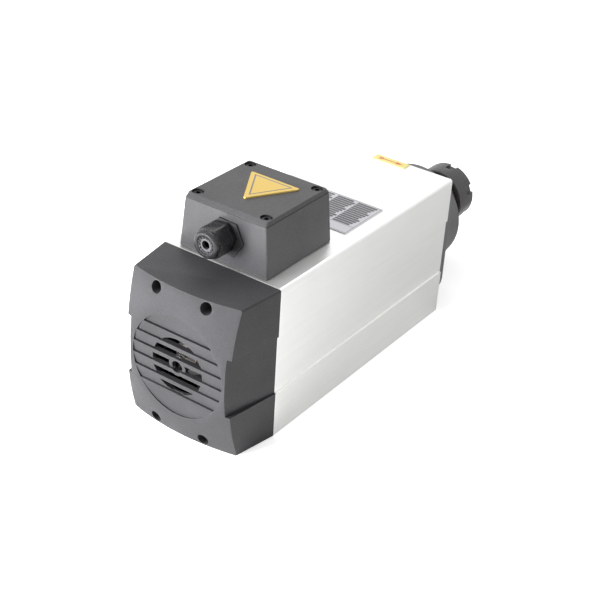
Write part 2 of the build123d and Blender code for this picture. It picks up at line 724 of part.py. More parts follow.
gap_height = slat_pitch * slat_gap_share
windows = Sketch()
for row in range(-2, 3):
    windows += Pos(0, row * slat_pitch) * Rectangle(2 * grille_open_radius, gap_height)
windows &= Circle(grille_open_radius)
windows -= Circle(grille_hub_radius)
windows += Circle(grille_hub_hole_radius)
cover -= prism(windows, cover_rear - 1, slat_floor + cover_wall + 1)
save("rear_cover", cover)
cover_screw_length = well_floor + rear_plate_thickness + cover_thread_depth - 2
save("cover_screws", *[
    screw_to_rear(m5, cover_screw_length, x, well_seat, z) for x, z in corners(cover_screw_x, cover_screw_z)])

# ---- terminal box ------------------------------------------------------------------------------------
base_bottom = top + box_gasket
lid_top = top + box_height
lid_bottom = lid_top - lid_side_height
base_top = lid_bottom - lid_gasket
floor_top = base_bottom + box_wall


def box_form(z_low, z_high, low_size, high_size, corner):
    """Upright drafted block on the terminal box's centre."""
    low = Pos(box_x, box_y, z_low) * rounded(*low_size, corner)
    high = Pos(box_x, box_y, z_high) * rounded(*high_size, corner)
    return loft([low, high])


def inset(size, amount):
    return (size[0] - 2 * amount, size[1] - 2 * amount)


base_size = (box_base_width, box_base_length)
top_size = (box_top_width, box_top_length)
lid_screw_points = [(box_x + dx, box_y + dy) for dx, dy in corners(lid_screw_pitch / 2, lid_screw_pitch / 2)]
post_top = lid_bottom - lid_boss_depth
post_radius = lid_recess_radius
lid_boss_radius = lid_recess_radius + lid_boss_wall
box_base = box_form(base_bottom, base_top, base_size, top_size, box_corner_radius)
hollow_low, hollow_high = inset(base_size, box_wall), inset(top_size, box_wall)
hollow = box_form(floor_top, base_top + 1, hollow_low, hollow_high, box_inner_radius)
for x, y in lid_screw_points:
    hollow -= upright(x, y, floor_top - 1, post_top, post_radius)
    outward_x = math.copysign(box_base_width, x - box_x)
    outward_y = math.copysign(box_base_length, y - box_y)
    hollow -= block(sorted((x, x + outward_x)), sorted((y, y + outward_y)), (floor_top - 1, post_top))
box_base -= hollow
lid_thread_depth = 12.0
for x, y in lid_screw_points:
    box_base -= upright(x, y, post_top - lid_thread_depth, post_top + 1, m4[0] + thread_gap)
    box_base -= upright(x, y, post_top, base_top + 1, lid_boss_radius + thread_gap)
for x, y in fixing_points:
    box_base -= upright(x, y, base_bottom - 1, floor_top + 1, m4[0] + screw_gap)
box_base -= upright(earth_x, earth_y, base_bottom - 1, floor_top + 1, m5[0] + screw_gap)
box_base -= upright(box_x, lead_y, base_bottom - 1, floor_top + 1, lead_hole_radius)

wall_slope = (box_base_length - box_top_length) / 2 / (base_top - base_bottom)


def rear_wall_y(z):
    """Outer face of the box's rear wall at height z."""
    return box_y - box_base_length / 2 + (z - base_bottom) * wall_slope


def hexagon(across, turn):
    """Hexagon in X and Z, one corner turned this many degrees up from +X."""
    return RegularPolygon(across / math.sqrt(3), 6, rotation=turn)


plate_centre_z = gland_z + sealing_plate_z
plate_place = Pos(gland_x + sealing_plate_x, plate_centre_z)
plate_outline = plate_place * hexagon(sealing_plate_hex, sealing_plate_turn)
plate_reach = sealing_plate_hex / math.sqrt(3)
spot_face = rear_wall_y(plate_centre_z + plate_reach) + 0.05
flange_back = rear_wall_y(plate_centre_z - plate_reach) - sealing_plate_proud
box_base -= prism(plate_place * hexagon(sealing_plate_hex + 2 * thread_gap, sealing_plate_turn),
                  flange_back - 5, spot_face)
box_base -= Pos(gland_x, 0, gland_z) * tube(flange_back - 5, spot_face + 10, gland_thread_radius + screw_gap)
save("terminal_box_base", box_base)

gasket_size = inset(base_size, 0.5)
gasket = box_form(top, base_bottom, gasket_size, gasket_size, box_corner_radius)
gasket -= box_form(top - 1, base_bottom + 1, inset(gasket_size, 26), inset(gasket_size, 26), box_inner_radius)
for x, y in fixing_points + [(earth_x, earth_y)]:
    gasket -= upright(x, y, top - 1, base_bottom + 1, m5[0] + screw_gap)
gasket -= upright(box_x, lead_y, top - 1, base_bottom + 1, lead_hole_radius)
save("box_gasket", gasket)
fixing_length = box_gasket + box_wall + fixing_depth - 1
save("box_fixing_screws", *[Pos(x, y, floor_top) * socket_screw(m4, fixing_length) for x, y in fixing_points])

lid_size = inset(top_size, lid_setback)
lid_seal = box_form(base_top, lid_bottom, lid_size, lid_size, box_corner_radius)
seal_inside = inset(lid_size, lid_gasket_width)
seal_hole = box_form(base_top - 1, lid_bottom + 1, seal_inside, seal_inside, box_inner_radius)
seal_boss_radius = lid_boss_radius + thread_gap
seal_eye_radius = seal_boss_radius + lid_gasket_width
for x, y in lid_screw_points:
    seal_hole -= upright(x, y, base_top - 2, lid_bottom + 2, seal_eye_radius)
lid_seal -= seal_hole
for x, y in lid_screw_points:
    lid_seal -= upright(x, y, base_top - 1, lid_bottom + 1, seal_boss_radius)
save("lid_gasket", lid_seal)

lid_top_size = (lid_size[0] - 2 * lid_side_slope, lid_size[1] - 2 * lid_end_slope)
lid = box_form(lid_bottom, lid_top, lid_size, lid_top_size, box_corner_radius)
lid = fillet(lid.edges().group_by(Axis.Z)[-1], lid_edge_radius)
lip_size = inset(top_size, box_wall + 0.4)
lip = box_form(lid_bottom - 2, lid_bottom + 0.5, lip_size, lip_size, box_inner_radius)
lip -= box_form(lid_bottom - 3, lid_bottom + 1, inset(lip_size, 2), inset(lip_size, 2), box_inner_radius)
for x, y in lid_screw_points:
    lip -= upright(x, y, lid_bottom - 3, lid_bottom, seal_eye_radius + free_gap)
lid += lip
for x, y in lid_screw_points:
    lid += upright(x, y, post_top, lid_bottom + 0.5, lid_boss_radius)
for x, y in lid_screw_points:
    lid -= upright(x, y, lid_top - lid_recess_depth, lid_top + 1, lid_recess_radius)
    lid -= upright(x, y, post_top - 1, lid_top, m4[0] + screw_gap)
save("terminal_box_lid", lid)
lid_screw_seat = lid_top - lid_recess_depth
lid_screw_length = lid_screw_seat - post_top + lid_thread_depth - 1
save("lid_screws", *[
    Pos(x, y, lid_screw_seat) * socket_screw(m4, lid_screw_length) for x, y in lid_screw_points])

triangle_y = box_y + triangle_from_box
triangle_sharp = RegularPolygon(triangle_side / math.sqrt(3), 3, rotation=-90)
triangle = fillet(triangle_sharp.vertices(), triangle_corner_radius)
save("triangle_plate", Pos(triangle_x, triangle_y, lid_top) * extrude(triangle, amount=triangle_thickness))

# ---- parts inside the terminal box -------------------------------------------------------------------
grommet_lip = 2.0
grommet = upright(box_x, lead_y, top - 5, floor_top, lead_hole_radius - 0.05)
grommet += upright(box_x, lead_y, floor_top, floor_top + 1.5, lead_hole_radius + grommet_lip)
grommet -= upright(box_x, lead_y, top - 6, floor_top + 3, lead_hole_radius - 2.5)
save("lead_grommet", grommet)

block_y = box_y + 8.0
block_length = 56.0
block_depth = 15.0
block_height = 14.0
pole_pitch = 10.5
poles = [box_x + pole_pitch * (i - 1.5) for i in range(4)]
clamp_width = 7.0
clamp_height = 7.6
clamp_depth = 13.0
clamp_wire_z = 3.2
clamp_wire_radius = 2.2
clamp_screw_gap_z = 0.6
clamp_screw_length = 4.0
clamp_lift = 3.0
clamp_low = floor_top + clamp_lift
ear_height = 5.0
terminal_block = block((box_x - block_length / 2, box_x + block_length / 2),
                       (block_y - block_depth / 2, block_y + block_depth / 2),
                       (floor_top, floor_top + ear_height))
terminal_block += block((box_x - 2 * pole_pitch - 0.5, box_x + 2 * pole_pitch + 0.5),
                        (block_y - block_depth / 2, block_y + block_depth / 2),
                        (floor_top, floor_top + block_height))
pole_screw_pitch = 6.4
pole_screw_y = (block_y - pole_screw_pitch / 2, block_y + pole_screw_pitch / 2)
pole_screw_radius = m3[0]
ear_x = block_length / 2 - 3.2
for x in poles:
    terminal_block -= block((x - clamp_width / 2 - 0.1, x + clamp_width / 2 + 0.1),
                            (block_y - block_depth, block_y + block_depth),
                            (clamp_low, clamp_low + clamp_height + 0.1))
    for y in pole_screw_y:
        terminal_block -= upright(x, y, clamp_low, floor_top + block_height + 1, m3[1] + 0.2)
for side in (-1, 1):
    terminal_block -= upright(box_x + side * ear_x, block_y, floor_top - 1, floor_top + ear_height + 1,
                              m3[0] + screw_gap)
save("terminal_block", terminal_block)
clamps, pole_screws = [], []
clamp_top = clamp_low + clamp_height
clamp_wire_middle = clamp_low + clamp_wire_z
for x in poles:
    clamp = block((x - clamp_width / 2, x + clamp_width / 2),
                  (block_y - clamp_depth / 2, block_y + clamp_depth / 2), (clamp_low, clamp_top))
    clamp -= Pos(x, 0, clamp_wire_middle) * tube(
        block_y - clamp_depth, block_y + clamp_depth, clamp_wire_radius)
    for y in pole_screw_y:
        clamp -= upright(x, y, clamp_wire_middle, clamp_top + 1, pole_screw_radius + thread_gap)
        pole_screws.append(
            Pos(x, y, clamp_top + clamp_screw_gap_z) * socket_screw(m3, clamp_screw_length))
    clamps.append(clamp)
save("terminal_clamps", *clamps)
save("terminal_screws", *pole_screws)
ear_screws = [Pos(box_x + side * ear_x, block_y, floor_top + ear_height) * socket_screw(m3, ear_height)
              for side in (-1, 1)]
save("terminal_block_screws", *ear_screws)
earth_length = box_wall + box_gasket + fixing_depth - 1
save("earth_screw", Pos(earth_x, earth_y, floor_top) * socket_screw(m5, earth_length))

# ---- cable gland ------------------------------------------------------------------------------------------
def on_gland(shape):
    return Pos(gland_x, 0, gland_z) * shape


nut_outline = Pos(gland_x, gland_z) * hexagon(gland_hex, gland_hex_turn)
nut_reach = gland_hex / math.sqrt(3) - gland_hex_ease
inner_wall = rear_wall_y(gland_z + nut_reach) + box_wall
flange_front = flange_back - gland_flange_thickness
spout_front = flange_front - gland_spout_length
body_end = inner_wall + gland_tail_length
seal_radius = gland_mouth_radius - seal_gap
gland_body = prism(nut_outline, flange_front, flange_back)
gland_body &= on_gland(tube(flange_front, flange_back, nut_reach))
gland_body += on_gland(tube(flange_back - 1, body_end, gland_thread_radius))
gland_body += on_gland(tube(spout_front, flange_front + 1, gland_spout_radius))
gland_body -= on_gland(tube(spout_front - 1, flange_front + 1.5, seal_radius + 0.15))
gland_body -= on_gland(tube(flange_front, body_end + 1, cable_hole_radius + 1.6))
save("gland_body", gland_body)
sealing_plate = prism(plate_outline, flange_back, spot_face)
sealing_plate -= on_gland(tube(flange_back - 1, spot_face + 1, gland_thread_radius))
save("gland_washer", sealing_plate)
locknut_thickness = 5.0
gland_locknut = prism(nut_outline, inner_wall, inner_wall + locknut_thickness)
gland_locknut -= on_gland(tube(inner_wall - 1, inner_wall + locknut_thickness + 1, gland_thread_radius))
save("gland_locknut", gland_locknut)

hex_back = flange_front - 0.4
hex_front = hex_back - gland_hex_length
mouth = hex_front - gland_dome_length
throat = gland_spout_radius + fit_gap
dome_nut = prism(nut_outline, hex_front, hex_back)
dome_nut &= on_gland(tube(hex_front, hex_back, nut_reach))
nut_dome = turned(
    (0, hex_front + 1), (gland_dome_radius, hex_front + 1), (gland_dome_radius, mouth + 2.0),
    (gland_dome_radius - 0.3, mouth + 1.1), (gland_dome_radius - 1.0, mouth + 0.5),
    (gland_dome_radius - 2.0, mouth + 0.12), (gland_mouth_radius + 0.7, mouth),
    (gland_mouth_radius, mouth + 0.4), (0, mouth + 0.4))
dome_nut += on_gland(nut_dome)
dome_nut -= on_gland(tube(spout_front - 0.5, hex_back + 1, throat))
dome_nut -= on_gland(tube(mouth - 1, spout_front, gland_mouth_radius))
save("gland_dome_nut", dome_nut)
seal_front = mouth + seal_recess
seal = tube(seal_front, flange_front + 1, seal_radius, cable_hole_radius)
save("gland_seal", on_gland(seal))

# ---- plates on top of the housing -------------------------------------------------------------------------
plate_y = housing_rear + nameplate_from_rear + nameplate_length / 2
nameplate = extrude(rounded(nameplate_width, nameplate_length, 1.0), amount=nameplate_thickness)
save("nameplate", Pos(0, plate_y, top) * nameplate)
label_y = housing_rear + label_from_rear + label_length / 2
label = extrude(rounded(label_width, label_length, 0.6), amount=label_thickness)
save("direction_label", Pos(label_x, label_y, top) * label)
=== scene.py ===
import math

import bmesh
import bpy
from mathutils import Matrix, Vector


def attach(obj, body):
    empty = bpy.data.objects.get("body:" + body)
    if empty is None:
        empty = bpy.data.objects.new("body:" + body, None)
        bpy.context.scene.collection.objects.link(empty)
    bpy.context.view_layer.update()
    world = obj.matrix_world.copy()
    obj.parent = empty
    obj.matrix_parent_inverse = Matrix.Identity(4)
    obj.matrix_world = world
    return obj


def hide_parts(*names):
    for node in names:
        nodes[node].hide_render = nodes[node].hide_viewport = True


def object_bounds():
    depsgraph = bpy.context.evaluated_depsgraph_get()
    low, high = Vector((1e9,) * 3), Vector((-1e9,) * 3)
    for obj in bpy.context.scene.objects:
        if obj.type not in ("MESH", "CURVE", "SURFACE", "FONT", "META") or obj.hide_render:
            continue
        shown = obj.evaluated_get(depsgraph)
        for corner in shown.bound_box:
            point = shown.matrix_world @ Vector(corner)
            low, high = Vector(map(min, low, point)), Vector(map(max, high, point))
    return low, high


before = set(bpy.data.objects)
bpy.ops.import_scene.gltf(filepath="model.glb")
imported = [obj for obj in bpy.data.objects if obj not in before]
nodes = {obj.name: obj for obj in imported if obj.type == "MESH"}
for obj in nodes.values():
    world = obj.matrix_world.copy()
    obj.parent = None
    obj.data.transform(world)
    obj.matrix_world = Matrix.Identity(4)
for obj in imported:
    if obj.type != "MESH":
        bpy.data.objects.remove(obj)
cad_low, cad_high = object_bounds()


# ---- camera ------------------------------------------------------------------------------------
# Stands behind the fan cover and above it, a little to the right, and leans by under four degrees.
bpy.context.scene.view_settings.view_transform = "Standard"
camera_place = Vector((0.4795, -0.9405, 0.5029))
camera_turn, camera_tilt, camera_roll = (math.radians(a) for a in (33.80, 30.89, 3.794))

level = Vector((math.cos(camera_turn), math.sin(camera_turn), 0))
forward = Vector((-math.sin(camera_turn) * math.cos(camera_tilt),
                  math.cos(camera_turn) * math.cos(camera_tilt),
                  -math.sin(camera_tilt)))
right = level * math.cos(camera_roll) + level.cross(forward) * math.sin(camera_roll)
up = right.cross(forward)
camera_data = bpy.data.cameras.new("camera")
camera_data.lens = 78.483
camera_data.sensor_width = 36
camera = bpy.data.objects.new("camera", camera_data)
camera_axes = Matrix((right, up, -forward)).transposed().to_4x4()
camera.matrix_world = Matrix.Translation(camera_place) @ camera_axes
bpy.context.scene.collection.objects.link(camera)
bpy.context.scene.camera = camera


# ---- studio ------------------------------------------------------------------------------------
# A white table under the spindle, a white room round it and two soft lamps. The table takes the
# shadow. The camera sees both of them white, while the metal mirrors a dimmer table and has no
# mirror image of the main lamp, whose glare would otherwise lie on it.
table_radius = 6.0
table_sides = 96
paper_white = (0.86, 0.86, 0.86, 1)
sky_light = 0.32
room_white = 1.0
table_glow = 0.62
mirrored_glow = 0.15
middle = (cad_low + cad_high) / 2


def shader_tree(material):
    """An emptied node tree of a new material, its output node included."""
    material.use_nodes = True
    tree = material.node_tree
    tree.nodes.clear()
    return tree, tree.nodes.new("ShaderNodeOutputMaterial")


def seen_directly(tree):
    """1 where a camera, glossy or clear ray looks, and 0 where light is gathered."""
    path = tree.nodes.new("ShaderNodeLightPath")
    either = tree.nodes.new("ShaderNodeMath")
    either.operation = "MAXIMUM"
    any_of_three = tree.nodes.new("ShaderNodeMath")
    any_of_three.operation = "MAXIMUM"
    tree.links.new(path.outputs["Is Camera Ray"], either.inputs[0])
    tree.links.new(path.outputs["Is Glossy Ray"], either.inputs[1])
    tree.links.new(either.outputs[0], any_of_three.inputs[0])
    tree.links.new(path.outputs["Is Transmission Ray"], any_of_three.inputs[1])
    return any_of_three.outputs[0]


world = bpy.data.worlds.new("room")
bpy.context.scene.world = world
world.use_nodes = True
world.node_tree.nodes.clear()
room_out = world.node_tree.nodes.new("ShaderNodeOutputWorld")
room = world.node_tree.nodes.new("ShaderNodeBackground")
strength = world.node_tree.nodes.new("ShaderNodeMapRange")
strength.inputs["To Min"].default_value = sky_light
strength.inputs["To Max"].default_value = room_white
world.node_tree.links.new(seen_directly(world.node_tree), strength.inputs["Value"])
world.node_tree.links.new(strength.outputs["Result"], room.inputs["Strength"])
world.node_tree.links.new(room.outputs[0], room_out.inputs["Surface"])
room.inputs["Color"].default_value = (1, 1, 1, 1)

table_mesh = bpy.data.meshes.new("table")
shape = bmesh.new()
bmesh.ops.create_circle(shape, cap_ends=True, radius=table_radius, segments=table_sides)
bmesh.ops.translate(shape, verts=shape.verts, vec=(middle.x, middle.y, cad_low.z))
shape.to_mesh(table_mesh)
shape.free()
table = bpy.data.objects.new("table", table_mesh)
bpy.context.scene.collection.objects.link(table)
paper = bpy.data.materials.new("white_paper")
tree, out = shader_tree(paper)
matt = tree.nodes.new("ShaderNodeBsdfDiffuse")
matt.inputs["Color"].default_value = paper_white
glow = tree.nodes.new("ShaderNodeEmission")
level_of_glow = tree.nodes.new("ShaderNodeMath")
level_of_glow.operation = "MULTIPLY"
level_of_glow.inputs[1].default_value = table_glow
watched = tree.nodes.new("ShaderNodeLightPath")
mirrored = tree.nodes.new("ShaderNodeMath")
mirrored.operation = "MULTIPLY_ADD"
mirrored.inputs[1].default_value = mirrored_glow / table_glow
tree.links.new(watched.outputs["Is Glossy Ray"], mirrored.inputs[0])
tree.links.new(watched.outputs["Is Camera Ray"], mirrored.inputs[2])
tree.links.new(mirrored.outputs[0], level_of_glow.inputs[0])
tree.links.new(level_of_glow.outputs[0], glow.inputs["Strength"])
both = tree.nodes.new("ShaderNodeAddShader")
tree.links.new(matt.outputs[0], both.inputs[0])
tree.links.new(glow.outputs[0], both.inputs[1])
tree.links.new(both.outputs[0], out.inputs["Surface"])
table_mesh.materials.append(paper)


def soft_lamp(name, place, size, power, mirrored=True):
    """A square lamp that faces the middle of the spindle, with or without a mirror image."""
    data = bpy.data.lights.new(name, "AREA")
    data.size = size
    data.energy = power
    lamp = bpy.data.objects.new(name, data)
    lamp.location = place
    lamp.rotation_euler = (middle - Vector(place)).to_track_quat("-Z", "Y").to_euler()
    lamp.visible_glossy = mirrored
    bpy.context.scene.collection.objects.link(lamp)


soft_lamp("key_lamp", place=(-0.75, -1.75, 0.34), size=0.70, power=140, mirrored=False)
soft_lamp("top_lamp", place=(-0.10, 0.55, 1.60), size=1.2, power=8)


# ---- motor housing -----------------------------------------------------------------------------
# An aluminium extrusion, sawn to length and anodised silver. The die leaves fine straight lines
# along it. Its edges are painted a little brighter: partly rubbing, partly painted highlight.
housing_light = (0.93, 0.93, 0.915, 1)
housing_dark = (0.88, 0.88, 0.865, 1)
housing_edge_highlight_and_rubbing = (0.97, 0.97, 0.97, 1)

fine_weight, patch_weight = 0.7, 0.3
darkest_noise, lightest_noise = 0.34, 0.66
# Noise and slopes of the edge mask, which paints edges lighter: partly rubbing, partly painted
# highlight.
highlight_and_rubbing_noise_scale = 420.0
unmarked_edge_noise, fully_marked_edge_noise = 0.30, 0.62
level_dot, edge_dot = 0.999, 0.90
weld_distance = 0.000002
flat_degrees = 0.4

FLOAT, COLOUR, VECTOR = "NodeSocketFloat", "NodeSocketColor", "NodeSocketVector"


def group(name, inputs, outputs):
    """A new shader node group with these named sockets, and its two end nodes."""
    tree = bpy.data.node_groups.new(name, "ShaderNodeTree")
    for socket, kind, value in inputs:
        made = tree.interface.new_socket(socket, in_out="INPUT", socket_type=kind)
        made.default_value = value
    for socket, kind in outputs:
        tree.interface.new_socket(socket, in_out="OUTPUT", socket_type=kind)
    return tree, tree.nodes.new("NodeGroupInput"), tree.nodes.new("NodeGroupOutput")


def node(tree, kind, values=None, **settings):
    """A node with its settings, and with its sockets given numbers or linked to other sockets."""
    made = tree.nodes.new(kind)
    for key, value in settings.items():
        setattr(made, key, value)
    for socket, value in (values or {}).items():
        target = made.inputs[socket]
        if isinstance(value, bpy.types.NodeSocket):
            tree.links.new(value, target)
        else:
            target.default_value = value
    return made


def blended(tree, share, low, high):
    """Colour between low and high."""
    mix = tree.nodes.new("ShaderNodeMix")
    mix.data_type = "RGBA"
    colours = [i for i in mix.inputs if i.type == "RGBA"]
    for target, value in ((mix.inputs[0], share), (colours[0], low), (colours[1], high)):
        if isinstance(value, bpy.types.NodeSocket):
            tree.links.new(value, target)
        else:
            target.default_value = value
    return next(o for o in mix.outputs if o.type == "RGBA")


grain, taken, given = group("surface_grain", [
    ("Place", VECTOR, (0, 0, 0)), ("Stretch", VECTOR, (1, 1, 1)), ("Light", COLOUR, (1, 1, 1, 1)),
    ("Dark", COLOUR, (0, 0, 0, 1)), ("Scale", FLOAT, 800.0), ("Patch Scale", FLOAT, 30.0),
    ("Smooth", FLOAT, 0.4), ("Rough", FLOAT, 0.6)],
    [("Colour", COLOUR), ("Roughness", FLOAT), ("Height", FLOAT)])
pulled = node(grain, "ShaderNodeVectorMath", {0: taken.outputs["Place"], 1: taken.outputs["Stretch"]},
              operation="MULTIPLY")
fine = node(grain, "ShaderNodeTexNoise", {"Vector": pulled.outputs[0], "Scale": taken.outputs["Scale"],
                                          "Detail": 3.0, "Roughness": 0.6})
patch = node(grain, "ShaderNodeTexNoise", {"Vector": taken.outputs["Place"],
                                           "Scale": taken.outputs["Patch Scale"], "Detail": 2.0})
most = node(grain, "ShaderNodeMath", {0: fine.outputs[0], 1: fine_weight}, operation="MULTIPLY")
total = node(grain, "ShaderNodeMath", {0: patch.outputs[0], 1: patch_weight, 2: most.outputs[0]},
             operation="MULTIPLY_ADD")
share = node(grain, "ShaderNodeMapRange", {"Value": total.outputs[0], "From Min": darkest_noise,
                                           "From Max": lightest_noise})
gloss = node(grain, "ShaderNodeMapRange", {"Value": share.outputs[0], "To Min": taken.outputs["Rough"],
                                           "To Max": taken.outputs["Smooth"]})
grain.links.new(blended(grain, share.outputs[0], taken.outputs["Dark"], taken.outputs["Light"]),
                given.inputs["Colour"])
grain.links.new(gloss.outputs[0], given.inputs["Roughness"])
grain.links.new(fine.outputs[0], given.inputs["Height"])

# Edge mask that paints edges lighter: partly rubbing, partly painted highlight where rounded edges
# catch the light.
edge_highlight_and_rubbing_group, taken, given = group("edge_highlight_and_rubbing", [
    ("Place", VECTOR, (0, 0, 0)), ("Width", FLOAT, 0.0004), ("Amount", FLOAT, 0.5)], [("Mask", FLOAT)])
eased = node(edge_highlight_and_rubbing_group, "ShaderNodeBevel", {"Radius": taken.outputs["Width"]}, samples=4)
true_face = node(edge_highlight_and_rubbing_group, "ShaderNodeNewGeometry")
facing = node(edge_highlight_and_rubbing_group, "ShaderNodeVectorMath", {0: eased.outputs[0], 1: true_face.outputs["Normal"]},
              operation="DOT_PRODUCT")
edge = node(edge_highlight_and_rubbing_group, "ShaderNodeMapRange", {"Value": facing.outputs["Value"], "From Min": level_dot,
                                         "From Max": edge_dot})
broken = node(edge_highlight_and_rubbing_group, "ShaderNodeTexNoise", {"Vector": taken.outputs["Place"],
                                           "Scale": highlight_and_rubbing_noise_scale, "Detail": 2.0})
uneven = node(edge_highlight_and_rubbing_group, "ShaderNodeMapRange", {"Value": broken.outputs[0], "From Min": unmarked_edge_noise,
                                           "From Max": fully_marked_edge_noise})
highlit_and_rubbed = node(edge_highlight_and_rubbing_group, "ShaderNodeMath", {0: edge.outputs[0], 1: uneven.outputs[0]}, operation="MULTIPLY")
some = node(edge_highlight_and_rubbing_group, "ShaderNodeMath", {0: highlit_and_rubbed.outputs[0], 1: taken.outputs["Amount"]},
            operation="MULTIPLY")
edge_highlight_and_rubbing_group.links.new(some.outputs[0], given.inputs["Mask"])

lathe, taken, given = group("lathe_place", [
    ("Place", VECTOR, (0, 0, 0)), ("Centre", VECTOR, (0, 0, 0))], [("Place", VECTOR)])
moved = node(lathe, "ShaderNodeVectorMath", {0: taken.outputs["Place"], 1: taken.outputs["Centre"]},
             operation="SUBTRACT")
parts = node(lathe, "ShaderNodeSeparateXYZ", {0: moved.outputs[0]})
flat = node(lathe, "ShaderNodeCombineXYZ", {0: parts.outputs[0], 2: parts.outputs[2]})
radius = node(lathe, "ShaderNodeVectorMath", {0: flat.outputs[0]}, operation="LENGTH")
turned_place = node(lathe, "ShaderNodeCombineXYZ", {0: radius.outputs["Value"], 1: parts.outputs[1]})
lathe.links.new(turned_place.outputs[0], given.inputs["Place"])


def finish(name, light, dark, scale=1400.0, stretch=(1, 1, 1), smooth=0.4, rough=0.6, metal=0.0,
           bump=0.2, depth=0.00004, edge_highlight_and_rubbing_colour=None, edge_width=0.0004, edge_amount=0.6,
           turned_on=None, specular=0.5):
    """A material from the grain group, with edges painted lighter, partly as rubbing and partly as
    painted highlight, if it has an edge colour.
    """
    material = bpy.data.materials.new(name)
    tree, out = shader_tree(material)
    place = node(tree, "ShaderNodeTexCoord").outputs["Object"]
    pattern = place
    if turned_on is not None:
        rings = node(tree, "ShaderNodeGroup", node_tree=lathe)
        tree.links.new(place, rings.inputs["Place"])
        rings.inputs["Centre"].default_value = turned_on
        pattern = rings.outputs["Place"]
    skin = node(tree, "ShaderNodeGroup", node_tree=grain)
    tree.links.new(pattern, skin.inputs["Place"])
    for socket, value in (("Stretch", stretch), ("Light", light), ("Dark", dark), ("Scale", scale),
                          ("Smooth", smooth), ("Rough", rough)):
        skin.inputs[socket].default_value = value
    colour = skin.outputs["Colour"]
    if edge_highlight_and_rubbing_colour is not None:
        edges = node(tree, "ShaderNodeGroup", node_tree=edge_highlight_and_rubbing_group)
        tree.links.new(place, edges.inputs["Place"])
        edges.inputs["Width"].default_value = edge_width
        edges.inputs["Amount"].default_value = edge_amount
        colour = blended(tree, edges.outputs["Mask"], colour, edge_highlight_and_rubbing_colour)
    relief = node(tree, "ShaderNodeBump", {"Strength": bump, "Distance": depth,
                                           "Height": skin.outputs["Height"]})
    body = node(tree, "ShaderNodeBsdfPrincipled", {
        "Base Color": colour, "Roughness": skin.outputs["Roughness"], "Metallic": metal,
        "Specular IOR Level": specular, "Normal": relief.outputs[0]})
    tree.links.new(body.outputs[0], out.inputs["Surface"])
    return material


def dress(material, *names):
    """Puts the material on CAD nodes."""
    for name in names:
        slots = nodes[name].material_slots
        if slots:
            slots[0].material = material
        else:
            nodes[name].data.materials.append(material)


def place_piece(name, mesh, materials, body, slot, *stands_for):
    """An object for a mesh that is already in its place, riding on its body."""
    for material in materials:
        mesh.materials.append(material)
    piece = bpy.data.objects.new(name, mesh)
    bpy.context.scene.collection.objects.link(piece)
    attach(piece, body)
    if stands_for:
        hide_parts(*stands_for)
    return piece


def eased_copy(name, source, material, body, slot, edge=0.0003, steps=2, limit=28):
    """The CAD node's shape as a merged mesh with its sharp edges rounded, in place of the node."""
    shape = bmesh.new()
    shape.from_mesh(nodes[source].data)
    bmesh.ops.remove_doubles(shape, verts=shape.verts, dist=weld_distance)
    bmesh.ops.dissolve_limit(shape, angle_limit=math.radians(flat_degrees), verts=shape.verts,
                             edges=shape.edges)
    mesh = bpy.data.meshes.new(name)
    shape.to_mesh(mesh)
    shape.free()
    mesh.materials.clear()
    mesh.shade_smooth()
    mesh.set_sharp_from_angle(angle=math.radians(limit))
    piece = place_piece(name, mesh, [material], body, slot, source)
    rounding = piece.modifiers.new("eased_edges", "BEVEL")
    rounding.width = edge
    rounding.segments = steps
    rounding.limit_method = "ANGLE"
    rounding.angle_limit = math.radians(limit)
    rounding.use_clamp_overlap = True
    rounding.harden_normals = True


silver = finish("satin_silver", housing_light, housing_dark, scale=900.0, stretch=(1.6, 0.02, 1.6),
                smooth=0.36, rough=0.46, metal=0.92, bump=0.08, depth=0.00002,
                edge_highlight_and_rubbing_colour=housing_edge_highlight_and_rubbing, edge_amount=0.5)
dress(silver, "motor_housing")


# ---- front end plate and bearing cap -----------------------------------------------------------
# An aluminium casting with a turned boss, and the turned cap screwed to its front. Both are
# anodised in a faded black, nearly mid grey, and keep the faint rings of the lathe.
nose_light = (0.190, 0.190, 0.195, 1)
nose_dark = (0.125, 0.125, 0.130, 1)
# Edges are painted slightly lighter: partly rubbing, partly painted highlight.
nose_edge_highlight_and_rubbing = (0.20, 0.20, 0.205, 1)
black_anodised = finish("black_anodised", nose_light, nose_dark, scale=2600.0, smooth=0.34,
                        rough=0.48, metal=0.55, bump=0.12, depth=0.00003,
                        edge_highlight_and_rubbing_colour=nose_edge_highlight_and_rubbing, turned_on=(0, 0, 0))
eased_copy("nose_flange_and_boss", "front_end_plate", black_anodised, "motor_frame", "nose_aluminium")
eased_copy("nose_cap", "front_bearing_cap", black_anodised, "motor_frame", "nose_aluminium")


# ---- shaft nose and slinger --------------------------------------------------------------------
# Ground steel: the neck of the shaft with its two spanner flats, and the slinger ring fixed on it
# by two grub screws, both oiled. Their slight straw tint is a painted warm reflection.
steel_light = (0.50, 0.47, 0.43, 1)
steel_dark = (0.36, 0.33, 0.30, 1)
ground_steel = finish("ground_steel", steel_light, steel_dark, scale=5200.0, smooth=0.20, rough=0.36,
                      metal=1.0, bump=0.10, depth=0.00002, turned_on=(0, 0, 0))
eased_copy("shaft_with_neck", "spindle_shaft", ground_steel, "spindle", "shaft_steel")
eased_copy("slinger", "slinger_ring", ground_steel, "spindle", "shaft_steel")


# ---- collet and collet nut ---------------------------------------------------------------------
# A hardened spring collet in its ground finish, the ring that pulls it, and the blackened nut with
# six spanner notches round its mouth.
nut_light = (0.100, 0.100, 0.103, 1)
nut_dark = (0.055, 0.055, 0.057, 1)
